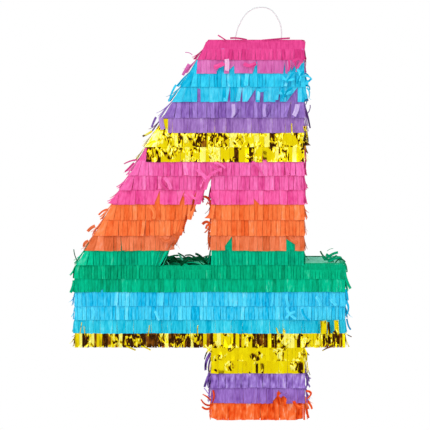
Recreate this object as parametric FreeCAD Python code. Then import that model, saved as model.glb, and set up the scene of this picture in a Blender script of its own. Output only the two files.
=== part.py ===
"""A hanging party pinata in the shape of the numeral 4.

Two card panels and a rim of card walls make a hollow box with a triangular hole through it. Strips of fringed
paper are wrapped round the box in level rows, one colour below another. A cord loop, knotted through the top
wall, hangs it from a hook, and a flap in the back panel opens to fill it.

Millimetres. +X is to the right seen from the front, +Y runs from front to back and +Z is up. The origin is
where the hook bears on the underside of the loop, at the middle of the box's depth.
"""

import FreeCAD
import Part
import math
import os

# ---- Hanging loop ----
cord_diameter = 1.2
loop_end_gap = 0.1  # between the loop's ends and the tails, whose round tops they turn on
loop_lift = 0.9  # the line that they turn about stands this far above the paper on the top wall
cord_hole_clearance = 0.25
knot_radius = 2.2
knot_tail = 5.0
# The loop's route, seen from the front. It leans a little to the right, as it was tied.
loop_route = [
    (-22.9, -30.3),
    (-22.2, -25.5),
    (-19.6, -17.5),
    (-14.0, -6.8),
    (-4.0, 0.6),
    (10.0, 0.6),
    (17.0, -5.6),
    (22.4, -15.5),
    (23.8, -24.0),
    (23.3, -30.3),
]
run_share = 0.45  # of the shorter run, taken by each bend of the loop

# ---- Card box ----
box_depth = 72.0
panel_thickness = 3.0
rim_thickness = 2.0
height_above_bar = 224.5
bar_height = 79.5
foot_length = 73.0
stem_width = 92.0
stem_right = 45.0  # the stem's right face, from the loop's middle
top_overhang = 3.5  # the top wall runs this far to the left of the stem
arm_reach = 136.5
arm_corner_drop = 2.0  # the slope meets the arm's end this far below the bar's top
stub_reach = 41.5
diagonal_width = 83.0  # measured level, between the slope and the hole
tape_thickness = 0.3
tape_leg = 12.0
pad_thickness = 2.0
pad_depth = 32.0
pad_margin = 6.0  # of the pad beyond each cord hole

# ---- Paper fringe ----
paper_depth = 1.5  # how far the layered strips stand off the card
rows_above_bar = 15
rows_on_bar = 6
rows_on_foot = 5
top_row_height = 20.0
last_row_height = 16.5
row_colours = (
    ["pink"] * 2 + ["cyan"] * 2 + ["purple"] * 2 + ["gold"] * 2 + ["pink"] * 3 + ["orange"] * 3
    + ["green"] * 3 + ["blue"] * 3 + ["gold"] * 3 + ["purple"] * 2 + ["orange"]
)

# ---- Filling flap, in the back panel ----
door_width = 76.0
door_middle = -1.0
door_first_row = 17
door_last_row = 20
door_kerf = 0.5  # the cut round its three free sides
crease_drop = 2.0  # the crease lies this far below the row above
crease_gap = 0.2
crease_bare = 3.5  # the flap's paper starts this far below the crease

# ---- Levels worked out from these ----
hinge_z = loop_route[0][1] - loop_end_gap - cord_diameter / 2  # the line that the loop turns about
paper_top = hinge_z - loop_lift
card_top = paper_top - paper_depth
bar_top = card_top - height_above_bar
bar_bottom = bar_top - bar_height
card_bottom = bar_bottom - foot_length
stem_left = stem_right - stem_width
top_left = stem_left - top_overhang
arm_left = stem_left - arm_reach
stub_right = stem_right + stub_reach
front_y = -box_depth / 2
back_y = box_depth / 2
far = 2000.0  # longer than the pinata, for cutting planes and slabs


def slope_x(z):
    """Where the outer slope is at a level."""
    share = (card_top - z) / (card_top - (bar_top - arm_corner_drop))
    return top_left + share * (arm_left - top_left)


slope_run = (slope_x(bar_top) - top_left) / (bar_top - card_top)  # sideways for each mm down
hole_left = slope_x(bar_top) + diagonal_width
hole_apex = bar_top + (stem_left - hole_left) / slope_run

# The outline and the hole, both anticlockwise seen from the front. A wall runs from each corner to the next.
outline = [
    ("slope_wall", (top_left, card_top)),
    ("arm_end_wall", (arm_left, bar_top - arm_corner_drop)),
    ("arm_underside_wall", (arm_left, bar_bottom)),
    ("foot_left_wall", (stem_left, bar_bottom)),
    ("foot_sole_wall", (stem_left, card_bottom)),
    ("foot_right_wall", (stem_right, card_bottom)),
    ("stub_underside_wall", (stem_right, bar_bottom)),
    ("stub_end_wall", (stub_right, bar_bottom)),
    ("stub_top_wall", (stub_right, bar_top)),
    ("stem_right_wall", (stem_right, bar_top)),
    ("top_wall", (stem_right, card_top)),
]
hole = [
    ("hole_slope_wall", (stem_left, hole_apex)),
    ("hole_base_wall", (hole_left, bar_top)),
    ("hole_stem_wall", (stem_left, bar_top)),
]


def corners(walls):
    return [FreeCAD.Vector(x, 0, z) for _, (x, z) in walls]


def grown(points, distance):
    """An anticlockwise polygon with every side moved outwards, or inwards if distance is negative."""
    moved = []
    for i, here in enumerate(points):
        before = (here - points[i - 1]).normalize()
        after = (points[(i + 1) % len(points)] - here).normalize()
        out_before = FreeCAD.Vector(before.z, 0, -before.x)
        out_after = FreeCAD.Vector(after.z, 0, -after.x)
        corner = out_before + out_after
        moved.append(here + corner * (distance / (1 + out_before.dot(out_after))))
    return moved


def prism(points, y_low, y_high):
    """A polygon seen from the front, given depth."""
    ring = [FreeCAD.Vector(p.x, y_low, p.z) for p in points]
    face = Part.Face(Part.makePolygon(ring + ring[:1]))
    return face.extrude(FreeCAD.Vector(0, y_high - y_low, 0))


def block(x_low, x_high, y_low, y_high, z_low, z_high):
    corner = FreeCAD.Vector(x_low, y_low, z_low)
    return Part.makeBox(x_high - x_low, y_high - y_low, z_high - z_low, corner)


def rod(radius, x, z_low, z_high):
    """An upright round bar at the middle of the depth."""
    return Part.makeCylinder(radius, z_high - z_low, FreeCAD.Vector(x, 0, z_low))


def ball(radius, x, z):
    return Part.makeSphere(radius, FreeCAD.Vector(x, 0, z))


def save(name, shape):
    """Writes a node's solids, and stops if one of them isn't sound."""
    solids = shape.Solids
    if not solids or not all(s.isValid() and s.Volume > 0 for s in solids):
        raise ValueError(f"{name} isn't a sound solid")
    whole = solids[0] if len(solids) == 1 else Part.makeCompound(solids)
    whole.exportStep(os.path.join("parts", f"{name}.step"))


# ---- Rows ----


def row_levels():
    """The level of each row's upper edge, and of the last row's lower edge."""
    bar_paper_top = bar_top + paper_depth
    bar_paper_bottom = bar_bottom - paper_depth
    sole = card_bottom - paper_depth
    above = (paper_top - top_row_height - bar_paper_top) / (rows_above_bar - 1)
    on_bar = (bar_paper_top - bar_paper_bottom) / rows_on_bar
    on_foot = (bar_paper_bottom - sole - last_row_height) / (rows_on_foot - 1)
    levels = [paper_top]
    levels += [bar_paper_top + above * n for n in range(rows_above_bar - 1, 0, -1)]
    levels += [bar_paper_top - on_bar * n for n in range(rows_on_bar)]
    levels += [bar_paper_bottom - on_foot * n for n in range(rows_on_foot)]
    return levels + [sole]


levels = row_levels()
door_left = door_middle - door_width / 2
door_right = door_middle + door_width / 2
crease_z = levels[door_first_row - 1] - crease_drop
door_bottom = levels[door_last_row] + door_kerf


# ---- The card box ----


def cord_holes():
    """Bars that cut both cord holes through whatever lies under the loop's ends."""
    radius = cord_diameter / 2 + cord_hole_clearance
    ends = (loop_route[0][0], loop_route[-1][0])
    return [rod(radius, x, card_top - far, paper_top + far) for x in ends]


def panel(y_low):
    y_high = y_low + panel_thickness
    return prism(corners(outline), y_low, y_high).cut(prism(corners(hole), y_low, y_high))


def doorway(y_low, y_high, z_high):
    """The space that the flap and its kerf take."""
    left = door_left - door_kerf
    right = door_right + door_kerf
    return block(left, right, y_low, y_high, door_bottom - door_kerf, z_high)


def make_panels():
    save("front_panel", panel(front_y))
    back = panel(back_y - panel_thickness)
    save("back_panel", back.cut(doorway(back_y - panel_thickness, back_y, crease_z)))


def make_rim(walls, side):
    """One wall for each side of the outline (side -1, inside it) or of the hole (side 1, round it)."""
    edge = corners(walls)
    other = grown(edge, side * rim_thickness)
    for i, (name, _) in enumerate(walls):
        j = (i + 1) % len(walls)
        wall = prism([edge[i], edge[j], other[j], other[i]], front_y + panel_thickness, back_y - panel_thickness)
        if name == "top_wall":
            for cut in cord_holes():
                wall = wall.cut(cut)
        save(name, wall)


def tapes(walls, side):
    """Strips of tape folded into the corners where two walls meet, inside the box."""
    on_wall = grown(corners(walls), side * rim_thickness)
    off_wall = grown(corners(walls), side * (rim_thickness + tape_thickness))
    strips = []
    for i, here in enumerate(on_wall):
        to_before = (on_wall[i - 1] - here).normalize()
        to_after = (on_wall[(i + 1) % len(on_wall)] - here).normalize()
        inwards = side * tape_thickness
        lift_before = FreeCAD.Vector(-to_before.z, 0, to_before.x) * inwards
        lift_after = FreeCAD.Vector(to_after.z, 0, -to_after.x) * inwards
        first = here + to_before * tape_leg
        last = here + to_after * tape_leg
        ring = [first, here, last, last + lift_after, off_wall[i], first + lift_before]
        strips.append(prism(ring, front_y + panel_thickness, back_y - panel_thickness))
    return strips


def make_seam_tape():
    save("seam_tape", Part.makeCompound(tapes(outline, -1) + tapes(hole, 1)))


def make_hanger_pad():
    """A pad of card glued under the top wall, so that the knots can't pull through."""
    z_high = card_top - rim_thickness
    left = loop_route[0][0] - pad_margin
    right = loop_route[-1][0] + pad_margin
    pad = block(left, right, -pad_depth / 2, pad_depth / 2, z_high - pad_thickness, z_high)
    for cut in cord_holes():
        pad = pad.cut(cut)
    save("hanger_pad", pad)


# ---- The hanging loop ----


def bend_radius(before, here, after):
    """The radius of the arc that rounds one corner of the loop's route, and how far from the corner it starts."""
    first, second = before - here, after - here
    half_turn = (math.pi - first.getAngle(second)) / 2
    start = run_share * min(first.Length, second.Length)
    return start / math.tan(half_turn), start


def loop_path():
    """Straight runs joined by tangent arcs."""
    points = [FreeCAD.Vector(x, 0, z) for x, z in loop_route]
    edges, at = [], points[0]
    for before, here, after in zip(points, points[1:], points[2:]):
        radius, start = bend_radius(before, here, after)
        to_before = (before - here).normalize()
        to_after = (after - here).normalize()
        first, last = here + to_before * start, here + to_after * start
        out = (to_before + to_after).normalize()
        centre = here + out * math.hypot(radius, start)
        edges.append(Part.LineSegment(at, first).toShape())
        edges.append(Part.Arc(first, centre - out * radius, last).toShape())
        print(f"loop bend at {here.x:.1f}, {here.z:.1f}: radius {radius:.1f}")
        at = last
    edges.append(Part.LineSegment(at, points[-1]).toShape())
    return Part.Wire(edges)


def make_loop():
    path = loop_path()
    start = FreeCAD.Vector(loop_route[0][0], 0, loop_route[0][1])
    along = path.Edges[0].tangentAt(path.Edges[0].FirstParameter)
    ring = Part.Wire(Part.makeCircle(cord_diameter / 2, start, along))
    tube = path.makePipeShell([ring], True, True)
    section = math.pi * cord_diameter**2 / 4
    print(f"loop length {path.Length:.1f}, volume {tube.Volume:.2f} against {section * path.Length:.2f}")
    save("hanging_loop", tube)


def make_tails():
    """The cord's two ends: up through the top wall to where the loop turns, and knotted under the pad."""
    radius = cord_diameter / 2
    pad_bottom = card_top - rim_thickness - pad_thickness
    knot_z = pad_bottom - knot_radius
    for name, x in (("left", loop_route[0][0]), ("right", loop_route[-1][0])):
        tail = rod(radius, x, knot_z - knot_radius - knot_tail, hinge_z)
        tail = tail.fuse(ball(radius, x, hinge_z)).fuse(ball(knot_radius, x, knot_z))
        save(f"loop_tail_{name}", tail)


# ---- The fringe ----


def paper_shell():
    """Everything between the card and the outside of the paper."""
    y_low, y_high = front_y - paper_depth, back_y + paper_depth
    paper = prism(grown(corners(outline), paper_depth), y_low, y_high)
    paper = paper.cut(prism(grown(corners(hole), -paper_depth), y_low, y_high))
    card = prism(corners(outline), front_y, back_y).cut(prism(corners(hole), front_y, back_y))
    return paper.cut(card)


def make_fringe_rows():
    """Each row is a belt of paper round every limb that it crosses."""
    shell = paper_shell()
    flap_space = doorway(back_y, back_y + far, levels[door_first_row - 1])
    for row, colour in enumerate(row_colours, 1):
        slab = block(-far, far, -far, far, levels[row], levels[row - 1])
        belt = shell.common(slab)
        if door_first_row <= row <= door_last_row:
            belt = belt.cut(flap_space)
        if row == 1:
            for cut in cord_holes():
                belt = belt.cut(cut)
        save(f"fringe_row_{row:02d}_{colour}", belt)


# ---- The filling flap ----


def make_door():
    door_top = crease_z - crease_gap
    save("fill_door", block(door_left, door_right, back_y - panel_thickness, back_y, door_bottom, door_top))
    for row in range(door_first_row, door_last_row + 1):
        z_high = min(levels[row - 1], crease_z - crease_bare)
        z_low = max(levels[row], door_bottom)
        strip = block(door_left, door_right, back_y, back_y + paper_depth, z_low, z_high)
        save(f"door_fringe_{row:02d}_{row_colours[row - 1]}", strip)


os.makedirs("parts", exist_ok=True)
make_panels()
make_rim(outline, -1)
make_rim(hole, 1)
make_seam_tape()
make_hanger_pad()
make_loop()
make_tails()
make_fringe_rows()
make_door()
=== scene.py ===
import math
import random

import bpy
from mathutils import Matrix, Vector, noise


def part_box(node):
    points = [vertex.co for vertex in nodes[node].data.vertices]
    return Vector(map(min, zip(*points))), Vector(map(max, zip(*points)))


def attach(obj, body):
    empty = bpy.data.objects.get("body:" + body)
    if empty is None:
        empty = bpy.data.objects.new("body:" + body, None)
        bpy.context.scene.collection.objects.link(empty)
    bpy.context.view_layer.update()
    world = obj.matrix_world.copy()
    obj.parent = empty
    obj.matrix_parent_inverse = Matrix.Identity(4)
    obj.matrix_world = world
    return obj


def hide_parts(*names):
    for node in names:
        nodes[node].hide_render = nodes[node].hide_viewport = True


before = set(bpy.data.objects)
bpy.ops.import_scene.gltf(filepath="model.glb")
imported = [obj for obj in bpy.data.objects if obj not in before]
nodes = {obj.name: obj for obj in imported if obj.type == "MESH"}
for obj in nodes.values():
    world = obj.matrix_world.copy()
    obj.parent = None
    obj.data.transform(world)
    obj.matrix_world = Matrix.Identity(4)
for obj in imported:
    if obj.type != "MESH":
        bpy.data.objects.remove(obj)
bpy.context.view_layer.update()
bpy.ops.object.select_all(action="DESELECT")


# ---- The card box ----
# Two panels and a rim of walls in brown corrugated board, cut with a knife and joined with gummed paper tape
# folded into the inside corners. Paper covers it, so the board shows only inside and round the flap.

MM = 0.001


def colour(code):
    """An sRGB hex colour in linear values, with alpha."""
    channels = [int(code[i : i + 2], 16) / 255 for i in (1, 3, 5)]
    return [c / 12.92 if c <= 0.04045 else ((c + 0.055) / 1.055) ** 2.4 for c in channels] + [1.0]


def set_inputs(tree, node, inputs):
    for name, value in inputs.items():
        if isinstance(value, bpy.types.NodeSocket):
            tree.links.new(value, node.inputs[name])
        else:
            node.inputs[name].default_value = value


def add_node(tree, kind, inputs, **settings):
    """Adds a node with its settings. Each input is a value, or the socket that is linked to it."""
    node = tree.nodes.new(kind)
    for name, value in settings.items():
        setattr(node, name, value)
    set_inputs(tree, node, inputs)
    return node


def new_material(name):
    """A material with the shader that it starts from, and its tree."""
    material = bpy.data.materials.new(name)
    material.use_nodes = True
    return material, material.node_tree, material.node_tree.nodes["Principled BSDF"]


def mapped(tree, place, **how):
    """Places after a turn or a stretch."""
    return add_node(tree, "ShaderNodeMapping", {"Vector": place} | how).outputs["Vector"]


def mottle(tree, place, scale, detail, **more):
    """A soft random pattern, from 0 to 1."""
    inputs = {"Vector": place, "Scale": scale, "Detail": detail} | more
    return add_node(tree, "ShaderNodeTexNoise", inputs).outputs["Fac"]


def ribs(tree, place, pitch):
    """Straight even ribs across X, from 0 to 1."""
    inputs = {"Vector": place, "Scale": math.tau / 20 / pitch}
    return add_node(tree, "ShaderNodeTexWave", inputs).outputs["Fac"]


def worked_out(tree, operation, *values):
    """A sum done at each point, of values that are numbers or sockets."""
    return add_node(tree, "ShaderNodeMath", dict(enumerate(values)), operation=operation).outputs[0]


def blend(tree, share, first, second):
    """The colour at a share from 0 to 1 between two."""
    inputs = {"Factor": share, "A": first, "B": second}
    return add_node(tree, "ShaderNodeMix", inputs, data_type="RGBA").outputs[2]


def bumped(tree, height, strength, distance):
    """The normal of a surface with this relief."""
    inputs = {"Height": height, "Strength": strength, "Distance": distance}
    return add_node(tree, "ShaderNodeBump", inputs).outputs[0]


def corrugated_kraft():
    """Corrugated kraft board, rolled and pressed: long pale fibres, with flutes showing through the liner."""
    material, tree, shader = new_material("corrugated_kraft_pressed")
    place = add_node(tree, "ShaderNodeTexCoord", {}).outputs["Object"]
    grain = mottle(tree, mapped(tree, place, Scale=(1.0, 1.0, 0.2)), 900.0, 4.0)
    shade = blend(tree, grain, colour("#a27a4e"), colour("#c9a274"))
    flute_pitch = 6.4 * MM
    relief = worked_out(tree, "ADD", ribs(tree, place, flute_pitch), grain)
    normal = bumped(tree, relief, 0.3, 0.1 * MM)
    set_inputs(tree, shader, {"Base Color": shade, "Normal": normal, "Roughness": 0.85})
    return material


def gummed_tape():
    """Gummed kraft tape, calendered: a paler brown than the board, with a slight shine."""
    material, tree, shader = new_material("gummed_tape_calendered")
    place = add_node(tree, "ShaderNodeTexCoord", {}).outputs["Object"]
    grain = mottle(tree, place, 1200.0, 3.0)
    shade = blend(tree, grain, colour("#b58a58"), colour("#d6b482"))
    normal = bumped(tree, grain, 0.2, 0.05 * MM)
    set_inputs(tree, shader, {"Base Color": shade, "Normal": normal, "Roughness": 0.5})
    return material


board = corrugated_kraft()
for name, part in nodes.items():
    if name.endswith(("_panel", "_wall", "_pad", "_door")):
        part.material_slots[0].material = board
nodes["seam_tape"].material_slots[0].material = gummed_tape()


# ---- The hanging loop ----
# A loop of thin white string. Its two ends go down through holes in the top wall and are knotted under the
# pad, and it stands up in a round arch, a little fuller on the right, as it was tied.

string_diameter = 1.2 * MM
ply_pitch = 1.0 * MM
loop_route = [  # (x, z) in millimetres
    (-22.9, -30.3), (-22.2, -25.5), (-19.6, -17.5), (-14.0, -6.8), (-4.0, 0.6),
    (10.0, 0.6), (17.0, -5.6), (22.4, -15.5), (23.8, -24.0), (23.3, -30.3),
]


def waxed_string():
    """Waxed cotton string, twisted: white, with a soft shine and the plies a millimetre apart. The grooves
    between the plies are bumped and painted a little darker as shade.
    """
    material, tree, shader = new_material("cotton_string_waxed")
    place = add_node(tree, "ShaderNodeTexCoord", {}).outputs["Object"]
    plies = ribs(tree, mapped(tree, place, Rotation=(0.0, 0.7, 0.0)), ply_pitch)
    # Painted shade: the grooves between the plies are a little darker.
    shade = blend(tree, plies, colour("#d6e4e2"), colour("#f4ffff"))
    normal = bumped(tree, plies, 0.4, 0.1 * MM)
    look = {"Base Color": shade, "Normal": normal, "Roughness": 0.7, "Specular IOR Level": 0.2}
    set_inputs(tree, shader, look)
    return material


string = waxed_string()
line = bpy.data.curves.new("string_loop", "CURVE")
line.dimensions = "3D"
spline = line.splines.new("NURBS")
spline.points.add(len(loop_route) - 1)
for point, (x, z) in zip(spline.points, loop_route):
    point.co = (x * MM, 0.0, z * MM, 1.0)
spline.order_u = 3
spline.use_endpoint_u = True
spline.resolution_u = 16
line.bevel_depth = string_diameter / 2
line.bevel_resolution = 4
line.use_fill_caps = True
line.materials.append(string)
string_loop = bpy.data.objects.new("string_loop", line)
bpy.context.collection.objects.link(string_loop)
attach(string_loop, "hanger")
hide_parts("hanging_loop")
for name in ("loop_tail_left", "loop_tail_right"):
    nodes[name].material_slots[0].material = string


# ---- Fringe ----
# Long strips of tissue paper, cut into tabs along their lower edge and glued round the box in rows from the
# foot up, so that each row's tabs hang over the plain top edge of the row below. The gold rows are film.

card_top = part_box("top_wall")[1][2]
top_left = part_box("top_wall")[0][0]
arm_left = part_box("arm_end_wall")[0][0]
arm_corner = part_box("arm_end_wall")[1][2]
stem_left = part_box("hole_stem_wall")[0][0]
stem_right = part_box("stem_right_wall")[1][0]
stub_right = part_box("stub_end_wall")[1][0]
bar_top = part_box("stub_top_wall")[1][2]
bar_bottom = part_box("arm_underside_wall")[0][2]
card_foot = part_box("foot_sole_wall")[0][2]
half_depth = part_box("back_panel")[1][1]
depth = 2 * half_depth
hole_left = min(v.co.x for v in nodes["front_panel"].data.vertices if abs(v.co.z - bar_top) < 1e-5)


def slope_x(z):
    return top_left + (card_top - z) / (card_top - arm_corner) * (arm_left - top_left)


def hole_x(z):
    return slope_x(z) + hole_left - slope_x(bar_top)


# Where each limb's left and right sides are at a level. The paper round the foot stands off its right side.
foot_loose = 1.2 * MM
limbs = {
    "upper": (slope_x, lambda z: stem_right),
    "diagonal": (slope_x, hole_x),
    "stem": (lambda z: stem_left, lambda z: stem_right),
    "bar": (lambda z: max(slope_x(z), arm_left), lambda z: stub_right),
    "foot": (lambda z: stem_left, lambda z: stem_right + foot_loose),
}
header_height = 12.5 * MM  # the plain top edge of a strip, glued under the row above
slit_above = 1.2 * MM  # the slits run this far up under the row above
paper_thickness = 0.1 * MM
paper_out = 0.4 * MM  # how far a strip's glued edge stands off the card
layer_depth = 0.95 * MM  # how much further out the tips of its tabs are, on top of the row below
corner_inset = 0.8 * MM  # a strip starts to turn round a corner this far from it
slope_fan = 7.0 * MM  # the tabs this near the outer slope spread along it
hole_fan = 17.0 * MM  # and those this near the slope of the hole crowd along it
tab_steps = 7  # faces down a tab
# Faces up a header of each kind, and how tall it is.
header_steps = {"up": 2, "short": 2, "fold": 7, "none": 1}
header_lap = {"up": header_height, "short": 9.0 * MM, "fold": 5.0 * MM, "none": 0.2 * MM}
stub_puff = 1.8 * MM  # how far the paper on top of the stub stands off it
corner_round = 3.5 * MM  # over this far from a corner, a folded header rounds it off


def belt_point(width, s, out):
    """A strip's point in plan. s runs round the limb from its front left corner, and out is off the card."""
    lengths = (width, depth, width, depth)
    starts = ((0, -half_depth), (width, -half_depth), (width, half_depth), (0, half_depth))
    ways = ((1, 0), (0, 1), (-1, 0), (0, -1))
    s %= sum(lengths)
    side = 0
    while s > lengths[side]:
        s -= lengths[side]
        side += 1
    along = Vector(ways[side])
    outward = Vector((along.y, -along.x))
    inset = min(max(s, corner_inset), lengths[side] - corner_inset)
    turn = math.radians(45) * (s - inset) / corner_inset
    way = outward * math.cos(turn) + along * math.sin(turn)
    return Vector(starts[side]) + along * inset - outward * corner_inset + way * (corner_inset + out)


def place_on_limb(limb, root_z, s, drop, out, follow=(1.0, 1.0)):
    """A strip's point in space. Tabs on and near the slopes lie along them, and others hang straight down.

    follow is how much of the outer slope, and of the slope of the hole, the point follows."""
    left, right = limbs[limb]
    x_low, x_high = left(root_z), right(root_z)
    z = root_z - drop
    plan = belt_point(x_high - x_low, s, out)
    near_left = 1 - min(1.0, max(0.0, plan.x / slope_fan))
    near_right = 1 - min(1.0, max(0.0, (x_high - x_low - plan.x) / hole_fan))
    shift = (left(z) - x_low) * near_left * follow[0] + (right(z) - x_high) * near_right * follow[1]
    return Vector((x_low + plan.x + shift, plan.y, z))


def tab_edges(start, stop, fixed, width, chance):
    """Where the slits fall: tabs of uneven width, with a slit at each fixed place."""
    edges = [start]
    for place in sorted(f for f in fixed if start + width < f < stop - width) + [stop]:
        while place - edges[-1] > 1.6 * width:
            edges.append(edges[-1] + width * chance.uniform(0.7, 1.3))
        edges.append(place)
    return edges


def new_grid(name, across, down):
    """A flat square sheet, 1 wide, with this many faces each way."""
    bpy.ops.mesh.primitive_grid_add(x_subdivisions=across, y_subdivisions=down, size=1)
    bpy.context.object.name = name
    return bpy.context.object


def set_tones(mesh, tone_of):
    """Gives each face of a sheet its tone."""
    tones = mesh.attributes.new("tone", "FLOAT", "FACE")
    for face in mesh.polygons:
        tones.data[face.index].value = tone_of(face)


def set_map(mesh, flat):
    """Maps a sheet as it was cut, from each vertex's place on the flat paper, in units of 10 mm."""
    for loop in mesh.loops:
        mesh.uv_layers[0].data[loop.index].uv = Vector(flat[loop.vertex_index]) / (10 * MM)


def slit_sheet(name, tabs, plain_steps):
    """A flat sheet, two faces across each tab, slit from its lower edge up to its plain part."""
    rows = plain_steps + tab_steps
    sheet = new_grid(name, 2 * tabs, rows)
    mesh = sheet.data
    bpy.ops.object.mode_set(mode="EDIT")
    bpy.ops.mesh.select_mode(type="EDGE")
    bpy.ops.mesh.select_all(action="DESELECT")
    bpy.ops.object.mode_set(mode="OBJECT")
    root = 0.5 - plain_steps / rows + 1e-5
    for edge in mesh.edges:
        a, b = (mesh.vertices[i].co for i in edge.vertices)
        column = round((a.x + 0.5) * 2 * tabs)
        on_slit = abs(a.x - b.x) < 1e-6 and column % 2 == 0 and 0 < column < 2 * tabs
        edge.select = on_slit and max(a.y, b.y) < root
    bpy.ops.object.mode_set(mode="EDIT")
    bpy.ops.mesh.edge_split(type="EDGE")
    bpy.ops.object.mode_set(mode="OBJECT")
    return sheet


def tab_shape(row, centre, side, chance, wave):
    """How one tab hangs: angles in radians, out of the sheet, along it and about its own length.

    side is 0 on the left side of a limb, 1 on its right side, and None on its front and back."""
    long_wave, short_wave = 28, 9  # millimetres
    drift = noise.noise(Vector((centre / MM / long_wave, wave, 0.0)))
    near = noise.noise(Vector((centre / MM / short_wave, wave, 5.0)))
    wild = chance.random() < (row["wild"] if side is None else row["wild"] + 0.05)
    lift = row["lift"] * (0.4 + 1.6 * abs(drift)) + chance.uniform(0, 3)
    if side is not None:
        lift += chance.uniform(0.3, 1.0) * row["side_lift"][side]
    # A wild tab is painted paler, as light coming through it where it lifts off.
    tone = min(1.0, max(0.0, 0.5 + 0.24 * chance.gauss(0, 1) + 0.4 * near)) + (0.4 if wild else 0)
    # On film, some tabs are painted brown as dark reflections, and some pale as highlights.
    if "dark" in row:
        dark = row["dark"][0] if centre < stem_left - arm_left else row["dark"][1]
        kind = chance.random()
        if kind < dark:
            tone = -1.0 if kind < 0.6 * dark else -0.6
        elif kind > 1 - row["pale"]:
            tone = 1.8
    return {
        "lift": math.radians(lift),
        "curl": math.radians(chance.gauss(0, 6) + 10 * near + (chance.uniform(20, 60) if wild else 0)),
        "twist": math.radians(chance.gauss(0, row["twist"]) * (2.0 if wild else 1)),
        "lean": math.radians(chance.gauss(0, 0.5) + 1.5 * drift + (chance.gauss(0, 8) if wild else 0)),
        "cup": chance.gauss(0, row["cup"]),
        "rise": chance.uniform(0, 0.45) * MM,
        "length": 1 + chance.gauss(0, 0.007),
        "slant": chance.gauss(0, 0.007),
        "tone": tone,
        "gap": row["gap"],
        "follow": row["follow"] if side is None else (1.0, 1.0),
    }


def hung_tab(row, shape, run, length, across, half, s, wave):
    """How far along the limb from its middle, down and out a tab's point is, run along it from its root."""
    share = run / length
    down, off = 0.0, 0.0
    pieces = 6
    for piece in range(pieces):
        angle = shape["lift"] + shape["curl"] * ((piece + 0.5) / pieces * share) ** 2
        down += run / pieces * math.cos(angle)
        off += run / pieces * math.sin(angle)
    turn = shape["twist"] * min(1.0, 1.6 * share)
    reach = across * (half - shape["gap"] / 2 * min(1.0, 4 * share))
    grown = min(1.0, 3 * share)
    crease = noise.noise(Vector((s / 0.0035, wave, run / 0.005))) * row["crumple"] * grown
    bowed = shape["cup"] * (1 - across * across) * grown
    out = paper_out + off + reach * math.sin(turn) + crease + bowed + shape["rise"] * grown
    out = max(out, paper_out + layer_depth * share)
    return reach * math.cos(turn) + down * math.tan(shape["lean"]), down, out


def girth_place(limb, root_z, side, x):
    """How far round a limb a place on its front or back is."""
    x_low, x_high = (edge(root_z) for edge in limbs[limb])
    return x - x_low if side == "front" else 2 * x_high - x_low + depth - x


def fringe(name, row, limb, start, stop, seed, header="up", plain=0.0, ledge=0.0, cuts=()):
    """One strip of fringe, from one (side, x) round a limb to another, and its flat area.

    header is "up" or "short" where the plain edge is glued up the card, "fold" where it folds over a ledge,
    or "none". plain is how much of it shows. cuts holds (start, stop, keep at start, keep at stop), in
    millimetres across the front, where tabs are torn or folded short."""
    chance = random.Random(seed)
    wave = chance.uniform(0, 50)
    root_z = row["top"] + (0.0 if header == "none" else slit_above) - plain
    length = root_z - row["bottom"]
    x_low = limbs[limb][0](root_z)
    width = limbs[limb][1](root_z) - x_low
    girth = 2 * (width + depth)
    start_s, stop_s = (girth_place(limb, root_z, *place) for place in (start, stop))
    if stop_s <= start_s + 1e-6:
        stop_s += girth
    laps = (0.0, girth)
    cuts = [(a * MM - x_low + lap, b * MM - x_low + lap, *keep) for a, b, *keep in cuts for lap in laps]
    corners = [c + lap for c in (0.0, width, width + depth, 2 * width + depth) for lap in laps]
    edges = tab_edges(start_s, stop_s, corners + [e for cut in cuts for e in cut[:2]], row["tab"], chance)
    middles = [(a + b) / 2 for a, b in zip(edges, edges[1:])]
    shapes = []
    for middle in middles:
        round_limb = middle % girth
        side = 1 if width < round_limb < width + depth else 0 if round_limb > 2 * width + depth else None
        shapes.append(tab_shape(row, round_limb, side, chance, wave))

    tabs = len(middles)
    plain_steps = header_steps[header]
    reach = header_lap[header] + plain
    rows = plain_steps + tab_steps
    sheet = slit_sheet(name, tabs, plain_steps)
    mesh = sheet.data
    owner = {i: min(tabs - 1, int((f.center.x + 0.5) * tabs)) for f in mesh.polygons for i in f.vertices}

    def tone_of(face):
        hangs = (0.5 - face.center.y) * rows > plain_steps
        return shapes[owner[face.vertices[0]]]["tone"] if hangs else 0.4

    set_tones(mesh, tone_of)
    flat = {}
    for vertex in mesh.vertices:
        tab = owner[vertex.index]
        across = 2 * ((vertex.co.x + 0.5) * tabs - tab) - 1
        step = (0.5 - vertex.co.y) * rows - plain_steps
        half = (edges[tab + 1] - edges[tab]) / 2
        s = middles[tab] + across * half
        sag = 0.5 * MM * noise.noise(Vector((s / 0.045, wave, 9.0)))
        if step <= 0.01:
            drop = reach * step / plain_steps
            out = paper_out * (1 + 0.4 * step / plain_steps)
            if header == "fold":
                drop, out = folded_over(root_z, drop, ledge)
                out += 0.3 * MM * noise.noise(Vector((s / 0.008, (s + drop) / 0.006, wave)))
                to_corner = min(abs(s - corner) for corner in corners)
                sag = -1.2 * MM * max(0.0, 1 - to_corner / corner_round) ** 2
            vertex.co = place_on_limb(limb, root_z, s, drop - sag, out)
            flat[vertex.index] = (s, drop)
            continue
        keep = shapes[tab]["length"] + shapes[tab]["slant"] * across
        for a, b, keep_a, keep_b in cuts:
            if a - 1e-6 <= middles[tab] <= b + 1e-6:
                keep = keep_a + (keep_b - keep_a) * (s - a) / (b - a)
        run = length * keep * step / tab_steps
        aside, down, out = hung_tab(row, shapes[tab], run, length, across, half, s, wave)
        follow = shapes[tab]["follow"]
        vertex.co = place_on_limb(limb, root_z, middles[tab] + aside, down - sag, out, follow)
        flat[vertex.index] = (s, run)
    set_map(mesh, flat)
    return sheet, (stop_s - start_s) * (reach + length)


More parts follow.
